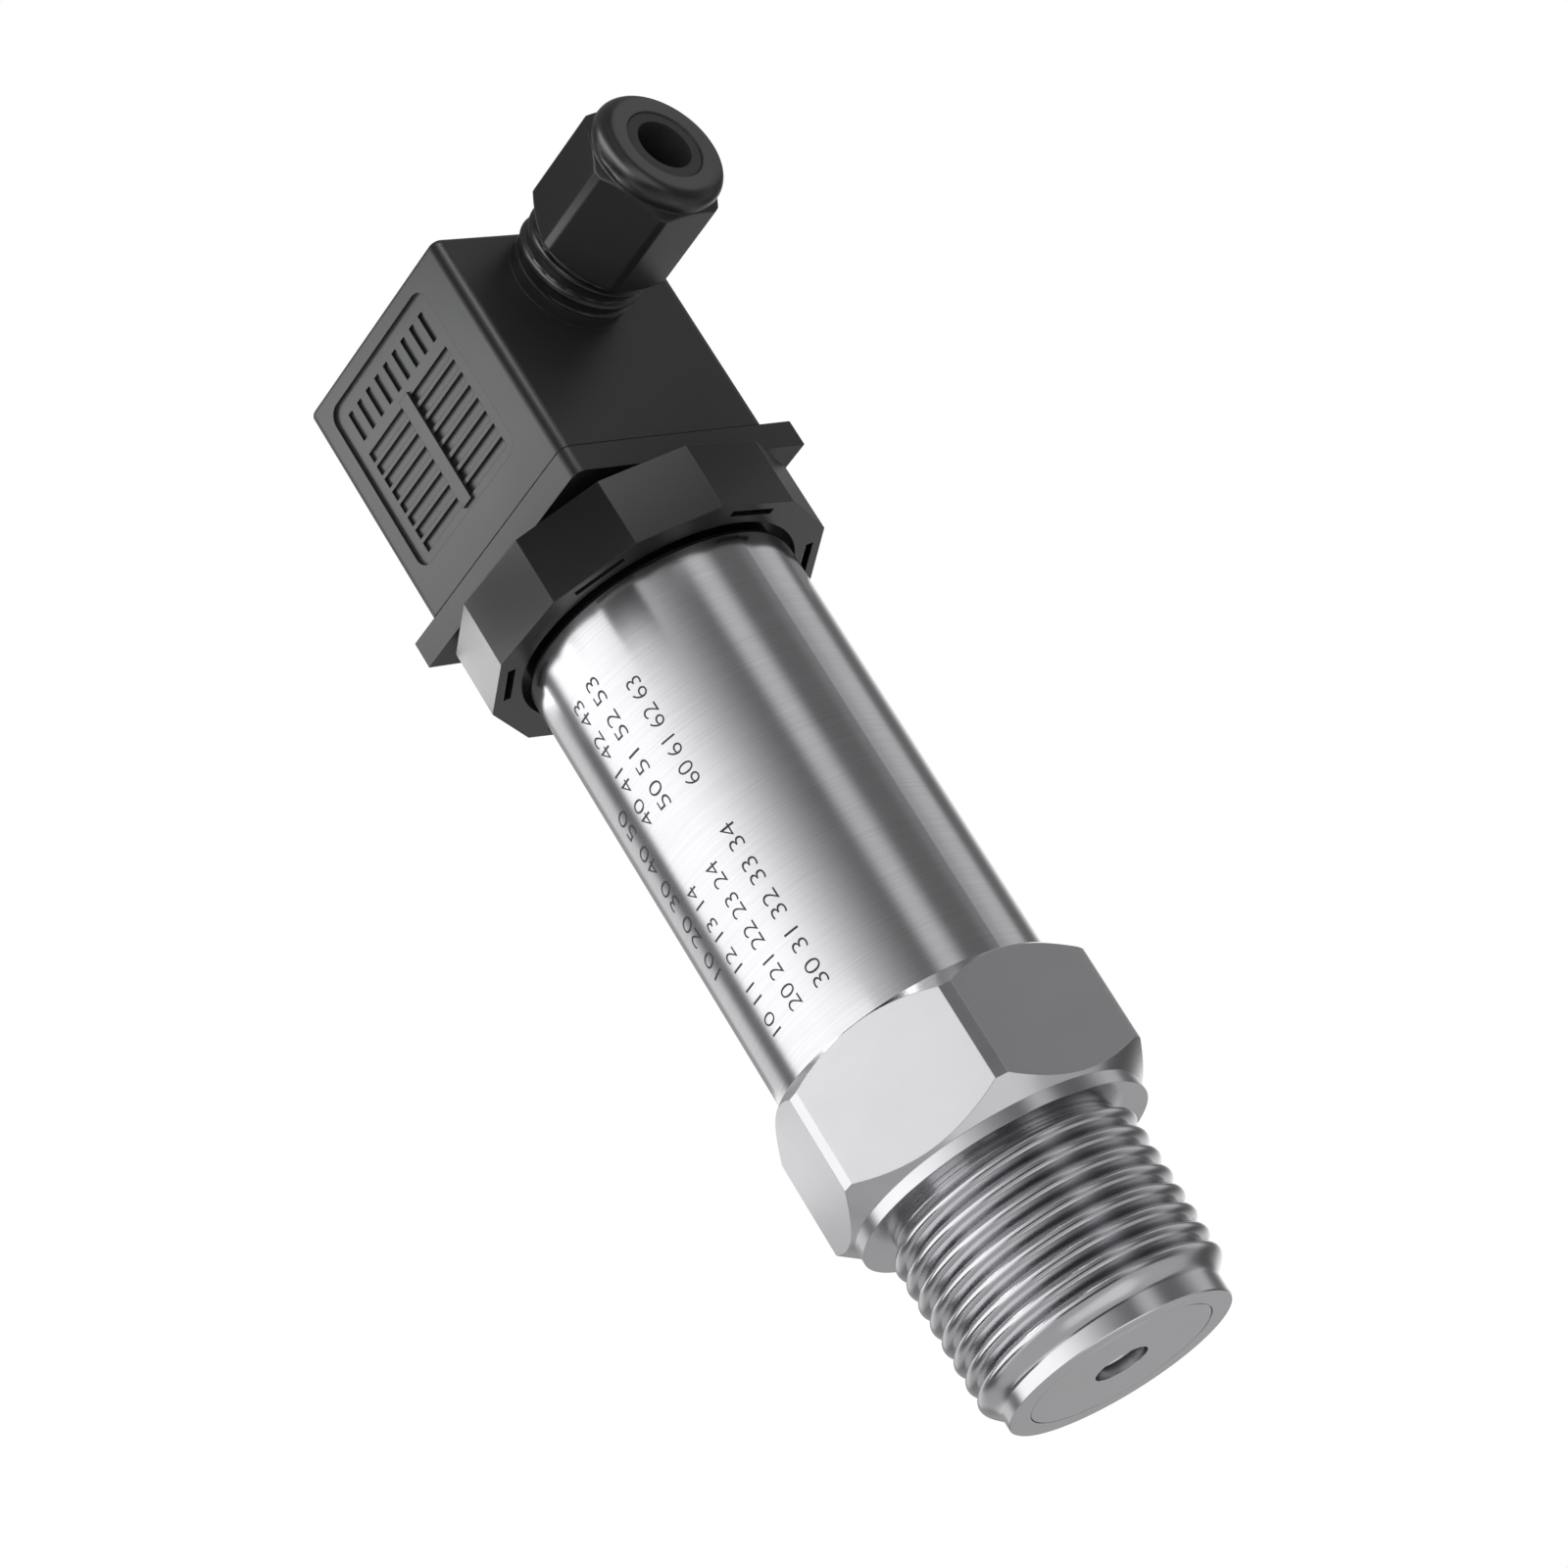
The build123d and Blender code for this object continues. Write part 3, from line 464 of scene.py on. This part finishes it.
def cut_hexagon(turned, satin):
    """Hexagon with its cones and collar: the solid above the threaded end, with satin flats."""
    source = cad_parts["process_fitting"]
    hexagon = source.copy()
    hexagon.data = source.data.copy()
    hexagon.name = "hexagon_fitting"
    # The copy is a piece of its own, so it drops what the frame wrote on the solid
    for key in list(hexagon.keys()):
        del hexagon[key]
    hexagon.parent = None
    bpy.context.scene.collection.objects.link(hexagon)
    make_active(hexagon)
    bpy.ops.mesh.customdata_custom_splitnormals_clear()
    merge_points(hexagon)
    bpy.ops.object.mode_set(mode="EDIT")
    bpy.ops.mesh.select_all(action="SELECT")
    bpy.ops.mesh.bisect(plane_co=(0, 0, CUT_HEIGHT), plane_no=(0, 0, 1), clear_inner=True)
    bpy.ops.mesh.select_all(action="DESELECT")
    bpy.ops.object.mode_set(mode="OBJECT")
    for edge in hexagon.data.edges:
        ends = [hexagon.data.vertices[index].co.z for index in edge.vertices]
        edge.select = max(abs(end - CUT_HEIGHT) for end in ends) < SAME_PLACE
    bpy.ops.object.mode_set(mode="EDIT")
    bpy.ops.mesh.bridge_edge_loops()
    bpy.ops.object.mode_set(mode="OBJECT")
    hexagon.data.materials.clear()
    hexagon.data.materials.append(turned)
    hexagon.data.materials.append(satin)
    for face in hexagon.data.polygons:
        spread = face.normal.x ** 2 + face.normal.y ** 2
        flat_distance = face.normal.dot(face.center)
        if spread > UPRIGHT and abs(flat_distance - FLAT_DISTANCE) < FLAT_SLACK:
            face.material_index = 1
    smooth(hexagon, HEXAGON_SMOOTH_ANGLE)
    return hexagon


def make_fitting(turned, satin, thread_cut):
    """Fitting: the solid's hexagon on a threaded end that is cut with a real helical thread."""
    hexagon = cut_hexagon(turned, satin)
    threaded = roll("threaded_end", threaded_section(), THREAD_COLUMNS, thread_place)
    threaded.data.materials.append(thread_cut)
    make_active(hexagon)
    threaded.select_set(True)
    bpy.ops.object.join()
    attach(hexagon, "transmitter")
    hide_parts("process_fitting")


def make_spigot_thread(nylon):
    """Moulded thread of the gland spigot, where it shows between the cover and the nut."""
    length = SPIGOT_END - SPIGOT_START
    inner = SPIGOT_CORE_RADIUS - SPIGOT_WALL
    section = [(inner, SPIGOT_END), (inner, SPIGOT_START)]
    for row in range(SPIGOT_ROWS + 1):
        section.append((SPIGOT_THREAD_RADIUS, SPIGOT_START + row / SPIGOT_ROWS * length))

    def place_at(turn, radius, height):
        if radius < SPIGOT_CORE_RADIUS:
            return radius, height
        wave = cos((height - SPIGOT_START) / SPIGOT_PITCH * tau - turn)
        ends = min(height - SPIGOT_START, SPIGOT_END - height) / SPIGOT_RUN_OUT
        share = max(0, wave) ** SPIGOT_FLANK_POWER * min(ends, 1)
        return SPIGOT_CORE_RADIUS + (SPIGOT_THREAD_RADIUS - SPIGOT_CORE_RADIUS) * share, height

    thread = roll("spigot_thread", section, SPIGOT_COLUMNS, place_at)
    along_x = Matrix.Rotation(radians(90), 4, "Y")
    thread.data.transform(Matrix.Translation((0, 0, GLAND_HEIGHT)) @ along_x)
    thread.data.materials.append(nylon)
    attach(thread, "plug")


def etch_row(name, words, size_mm, turn, start_mm, end_mm, oxide):
    """Etch one row of numerals that reads up the tube, from one height to another."""
    deselect()
    bpy.ops.object.text_add()
    text = bpy.context.object
    text.data.body = words
    text.data.size = size_mm * MM
    text.data.resolution_u = ETCH_CURVE_STEPS
    text.data.offset = -ETCH_THINNING * size_mm * MM
    bpy.ops.object.convert(target="MESH")
    row = bpy.context.object
    row.name = name
    bpy.ops.object.mode_set(mode="EDIT")
    # Cut the numerals into narrow strips, so that they can follow the round of the tube
    size = size_mm * MM
    for strip in range(int(ETCH_REACH * size / ETCH_STEP)):
        cut = strip * ETCH_STEP + ETCH_LOWEST * size
        bpy.ops.mesh.select_all(action="SELECT")
        bpy.ops.mesh.bisect(plane_co=(0, cut, 0), plane_no=(0, 1, 0))
    bpy.ops.object.mode_set(mode="OBJECT")
    left = min(point.co.x for point in row.data.vertices)
    right = max(point.co.x for point in row.data.vertices)
    middle = max(point.co.y for point in row.data.vertices) / 2
    stretch = (end_mm - start_mm) * MM / (right - left)
    for point in row.data.vertices:
        around = radians(turn) - (point.co.y - middle) / TUBE_RADIUS
        radius = TUBE_RADIUS + ETCH_STAND
        height = start_mm * MM + (point.co.x - left) * stretch
        point.co = (radius * cos(around), radius * sin(around), height)
    row.data.materials.append(oxide)
    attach(row, "transmitter")


def make_etched_scale(oxide):
    """Plain numerals in seven rows, in two groups and a larger row on their left."""
    # Each row: name, numerals, size in mm, turn round the tube, start and end heights in mm
    rows = [
        ("etched_row_large", "10 20 30 40 50", 3.4, -110.0, 51.0, 70.4),
        ("etched_row_1", "10 11 12 13 14", 2.5, -95.8, 42.0, 58.9),
        ("etched_row_2", "20 21 22 23 24", 2.5, -81.0, 42.2, 59.0),
        ("etched_row_3", "30 31 32 33 34", 2.5, -67.0, 42.3, 61.0),
        ("etched_row_4", "40 41 42 43", 2.5, -96.0, 66.5, 81.3),
        ("etched_row_5", "50 51 52 53", 2.5, -84.0, 66.4, 81.8),
        ("etched_row_6", "60 61 62 63", 2.5, -68.5, 66.2, 78.8),
    ]
    for name, words, size_mm, turn, start_mm, end_mm in rows:
        etch_row(name, words, size_mm, turn, start_mm, end_mm, oxide)


def dress(materials):
    """Give every solid of the frame its material."""
    dresses = {
        "brushed": ["body_tube"],
        "turned": ["port_disc", "sensor_cell", "cell_retainer", "process_fitting"],
        "cover_nylon": ["plug_cover", "connector_base", "pin_header"],
        "ring_nylon": ["ring_nut"],
        "gland_nylon": ["gland_nut"],
        "grey_nylon": ["terminal_block", "thrust_ring"],
        "rubber": ["cell_oring", "base_oring", "flat_gasket", "screw_seal", "cable_seal"],
        "tin": ["sensor_pins", "contact_blades", "earth_blade"],
        "zinc": ["terminal_screws", "centre_screw"],
        "brass": ["insert_nut", "terminal_clamps"],
        "can": ["filter_capacitors"],
        "board": ["sensor_board", "circuit_board"],
        "resin": ["signal_chips"],
        "jacket": ["lead_wires"],
    }
    for finish, names in dresses.items():
        for name in names:
            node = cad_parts[name]
            node.data.materials.clear()
            node.data.materials.append(materials[finish])


# Studio: pale floor, light tent, lamps and camera


def make_world():
    """White background, also in reflections, and a soft even light on everything else."""
    world = bpy.data.worlds.new("white_studio")
    bpy.context.scene.world = world
    world.use_nodes = True
    tree = world.node_tree
    tree.nodes.clear()
    path = add_node(tree, "ShaderNodeLightPath")
    seen = add_node(
        tree,
        "ShaderNodeMath",
        {"operation": "MAXIMUM"},
        {0: path.outputs["Is Camera Ray"], 1: path.outputs["Is Glossy Ray"]},
    )
    clear = add_node(
        tree,
        "ShaderNodeMath",
        {"operation": "MAXIMUM"},
        {0: seen.outputs[0], 1: path.outputs["Is Transmission Ray"]},
    )
    level = add_node(
        tree, "ShaderNodeMapRange", {"To Min": 0.5, "To Max": 1.0}, {"Value": clear.outputs[0]}
    )
    light = add_node(
        tree,
        "ShaderNodeBackground",
        {"Color": linear("#ffffff")},
        {"Strength": level.outputs["Result"]},
    )
    add_node(tree, "ShaderNodeOutputWorld", None, {"Surface": light.outputs[0]})


def make_floor():
    """Pale floor that is clear from below, because the photo's camera looks up from under it."""
    deselect()
    bpy.ops.mesh.primitive_plane_add(size=FLOOR_SIZE, location=(0, 0, FLOOR_HEIGHT))
    floor = bpy.context.object
    floor.name = "pale_floor"
    material = bpy.data.materials.new("pale_paper")
    material.use_nodes = True
    tree = material.node_tree
    tree.nodes.clear()
    side = add_node(tree, "ShaderNodeNewGeometry")
    paper = add_node(tree, "ShaderNodeBsdfDiffuse", {"Color": linear("#f4f4f4")})
    clear = add_node(tree, "ShaderNodeBsdfTransparent")
    mix = add_node(
        tree,
        "ShaderNodeMixShader",
        None,
        {0: side.outputs["Backfacing"], 1: paper.outputs[0], 2: clear.outputs[0]},
    )
    add_node(tree, "ShaderNodeOutputMaterial", None, {"Surface": mix.outputs[0]})
    floor.data.materials.append(material)
    floor.visible_shadow = False
    floor.visible_glossy = False


def show_in_reflections_only(item):
    """Keep a lit wall or card out of the camera's view, and its light off all but glossy surfaces."""
    item.visible_camera = False
    item.visible_diffuse = False
    item.visible_shadow = False
    item.visible_transmission = False


def softbox_level(tree, angle, seam, softbox):
    """Light of one softbox: it rises between its first two angles and falls between its last two."""
    rise_start, rise_end, fall_start, fall_end, strength = softbox
    edges = []
    for begin, end, low, high in (
        (rise_start, rise_end, 0, strength),
        (fall_start, fall_end, 1, 0),
    ):
        edges.append(add_node(
            tree,
            "ShaderNodeMapRange",
            {
                "interpolation_type": "SMOOTHSTEP",
                "From Min": radians(begin - seam - 180),
                "From Max": radians(end - seam - 180),
                "To Min": low,
                "To Max": high,
            },
            {"Value": angle},
        ))
    return add_node(
        tree,
        "ShaderNodeMath",
        {"operation": "MULTIPLY"},
        {0: edges[0].outputs[0], 1: edges[1].outputs[0]},
    )


def make_light_tent():
    """Round wall of softboxes and dark flags that only reflections show: it bands the bright metal."""
    # Angles are in degrees round the part, and they start at a seam where the wall is dark
    seam = -156
    base_level = 0.16
    dim_below = 0.6
    softboxes = [
        (-156, -147, -112, -10, 1.4),
        (-14, -2, 4, 18, 0.5),
        (34, 66, 74, 86, 0.45),
        (96, 124, 127, 136, 1.0),
        (134, 146, 152, 162, 0.22),
        (156, 166, 180, 196, 0.65),
    ]
    deselect()
    bpy.ops.mesh.primitive_cylinder_add(
        vertices=TENT_SIDES,
        radius=TENT_RADIUS,
        depth=TENT_HEIGHT,
        location=(0, 0, TENT_MIDDLE),
        end_fill_type="NOTHING",
    )
    tent = bpy.context.object
    tent.name = "light_tent"
    material = bpy.data.materials.new("lit_cloth")
    material.use_nodes = True
    tree = material.node_tree
    tree.nodes.clear()
    place = add_node(tree, "ShaderNodeNewGeometry").outputs["Position"]
    turned = add_node(
        tree,
        "ShaderNodeVectorRotate",
        {"rotation_type": "Z_AXIS", "Angle": radians(180 - seam)},
        {"Vector": place},
    )
    split = add_node(tree, "ShaderNodeSeparateXYZ", None, {"Vector": turned.outputs[0]})
    angle = add_node(
        tree,
        "ShaderNodeMath",
        {"operation": "ARCTAN2"},
        {0: split.outputs["Y"], 1: split.outputs["X"]},
    )
    level = add_node(tree, "ShaderNodeMath", {"operation": "ADD", 0: base_level, 1: 0})
    for softbox in softboxes:
        box = softbox_level(tree, angle.outputs[0], seam, softbox)
        level = add_node(
            tree,
            "ShaderNodeMath",
            {"operation": "ADD"},
            {0: level.outputs[0], 1: box.outputs[0]},
        )
    below = add_node(
        tree,
        "ShaderNodeMapRange",
        {"From Min": TENT_DIM_START, "From Max": 0.0, "To Min": dim_below, "To Max": 1.0},
        {"Value": split.outputs["Z"]},
    )
    strength = add_node(
        tree,
        "ShaderNodeMath",
        {"operation": "MULTIPLY"},
        {0: level.outputs[0], 1: below.outputs[0]},
    )
    light = add_node(
        tree, "ShaderNodeEmission", {"Color": linear("#ffffff")}, {"Strength": strength.outputs[0]}
    )
    add_node(tree, "ShaderNodeOutputMaterial", None, {"Surface": light.outputs[0]})
    tent.data.materials.append(material)
    show_in_reflections_only(tent)


def add_lamp(name, turn, lift, size, watts):
    """Add a square softbox lamp that looks at the middle of the part."""
    middle = Vector((0, 0, MIDDLE_HEIGHT))
    across = cos(radians(lift))
    way = Vector((cos(radians(turn)) * across, sin(radians(turn)) * across, sin(radians(lift))))
    deselect()
    bpy.ops.object.light_add(type="AREA", location=middle + way * LAMP_DISTANCE)
    lamp = bpy.context.object
    lamp.name = name
    lamp.rotation_euler = way.to_track_quat("Z", "Y").to_euler()
    lamp.data.size = size
    lamp.data.energy = watts
    lamp.visible_glossy = False


def add_card(name, place_mm, aim_mm, width_mm, height_mm, level):
    """Hang a lit or dark card that faces one place on the part, and that only reflections show."""
    place = Vector(place_mm) * MM
    way = Vector(aim_mm) * MM - place
    deselect()
    bpy.ops.mesh.primitive_plane_add(
        size=1, location=place, rotation=way.to_track_quat("Z", "Y").to_euler()
    )
    card = bpy.context.object
    card.name = name
    card.scale = (width_mm * MM, height_mm * MM, 1)
    material = bpy.data.materials.new(name)
    material.use_nodes = True
    tree = material.node_tree
    tree.nodes.clear()
    light = add_node(tree, "ShaderNodeEmission", {"Color": linear("#ffffff"), "Strength": level})
    add_node(tree, "ShaderNodeOutputMaterial", None, {"Surface": light.outputs[0]})
    card.data.materials.append(material)
    show_in_reflections_only(card)


def make_camera():
    """Camera at the photo's viewing angle."""
    deselect()
    bpy.ops.object.camera_add(location=CAMERA_PLACE, rotation=[radians(a) for a in CAMERA_TURN])
    camera = bpy.context.object
    camera.name = "photo_camera"
    camera.data.lens = CAMERA_LENS
    camera.data.sensor_width = CAMERA_SENSOR
    camera.data.clip_start = CAMERA_NEAR
    bpy.context.scene.camera = camera


def hang_cards():
    """Hang the cards: small ones for one face each, wide ones for the end, the ground and the roof."""
    # Each card: name, place and the point it faces, width and height, all in mm, and its brightness
    cards = [
        ("cover_card", (-38, -53, 135), (0, -13.75, 114), 34, 42, 4.2),
        ("edge_card_dark", (16, -37, 126), (13, -13.2, 114), 20, 36, 0.0),
        ("edge_card_light", (39, -21, 128.5), (13.4, -12.8, 115), 11, 34, 5.0),
        ("ring_card_1", (-49.7, -12.6, 110), (-8.2, -16.4, 92), 22, 12, 3.4),
        ("ring_card_2", (-15, -41, 107), (1.1, -18.3, 92.5), 14, 10, 0.3),
        ("ring_card_3", (25.6, -49, 116), (10.1, -15.3, 101), 30, 28, 0.0),
        ("ring_card_4", (51, -10.9, 114.4), (16.4, -8.2, 98.7), 20, 14, 1.6),
        ("ring_card_5", (37.3, 30, 114.4), (18.3, 1.1, 98.7), 16, 14, 0.2),
        ("ring_card_6", (-0.2, 41, 114.4), (15.3, 10.1, 98.7), 14, 14, 0.3),
        ("hexagon_card_1", (-62, 4, 50.5), (-8.7, -13.4, 30), 44, 13, 1.2),
        ("hexagon_card_2", (18.5, -69, 50.5), (7.3, -14.2, 30), 34, 13, 1.55),
        ("gland_card_157", (6.3, -13.9, 153.4), (26, -9.6, 125.1), 26, 26, 0.1),
        ("gland_card_277", (2, 34.5, 99.5), (26, 1.3, 110.7), 22, 12, 0.25),
        ("nose_card", (54.5, 20.7, 135), (38, 0, 121), 16, 26, 0.9),
        ("gland_card_low", (-150, -188, -34), (25, 0, 115), 200, 120, 0.1),
        ("flank_card", (204, -190, -97), (0, 0, 10), 300, 140, 0.03),
        ("end_face_card", (-255, 283, -74), (0, 0, 50), 200, 160, 0.45),
        ("down_card", (30, 25, -250), (0, 0, 23), 200, 200, 0.9),
        ("ground_card", (0, 0, -390), (0, 0, 0), 1300, 1300, 0.5),
        ("roof_card", (0, 0, 790), (0, 0, 0), 1300, 1300, 0.3),
    ]
    for name, place_mm, aim_mm, width_mm, height_mm, level in cards:
        add_card(name, place_mm, aim_mm, width_mm, height_mm, level)


def make_materials():
    """Every finish of the part, by the short name that the pieces are dressed with."""
    return {
        "brushed": brushed_stainless(),
        "turned": turned_stainless("turned_stainless_steel", 0.1),
        "threaded": turned_stainless("thread_cut_stainless_steel", 0),
        "satin": satin_stainless(),
        "cover_nylon": moulded_nylon("moulded_black_nylon", "#18191a", "#1e1f20", 0.42, 0.12),
        "ring_nylon": moulded_nylon("smooth_black_nylon", "#131314", "#18181a", 0.3, 0.12),
        "gland_nylon": moulded_nylon("soft_edged_nylon", "#131314", "#18181a", 0.3, 0.4),
        "grey_nylon": moulded_nylon("moulded_grey_nylon", "#6a6b6d", "#757678", 0.45, 0.12),
        "rubber": moulded_rubber(),
        "tin": plated_metal("tin_plate", "#b9b9b6", "#cbcbc8", 0.28),
        "zinc": plated_metal("zinc_plate", "#b4b6ba", "#c8cace", 0.3),
        "brass": plated_metal("milled_brass", "#b8974f", "#cbaa60", 0.3),
        "can": plated_metal("drawn_aluminium", "#c0c0c2", "#d2d2d4", 0.3),
        "board": glass_laminate(),
        "resin": moulded_resin(),
        "jacket": silicone_jacket(),
        "oxide": etched_oxide(),
    }


bpy.context.scene.view_settings.view_transform = "Standard"
make_camera()
make_world()
make_floor()
make_light_tent()
add_lamp("key_lamp", -140, 52, 0.34, 3.2)
add_lamp("rim_lamp", 178, 50, 0.3, 2.4)
hang_cards()

materials = make_materials()
dress(materials)
make_fitting(materials["turned"], materials["satin"], materials["threaded"])
make_spigot_thread(materials["ring_nylon"])
make_etched_scale(materials["oxide"])
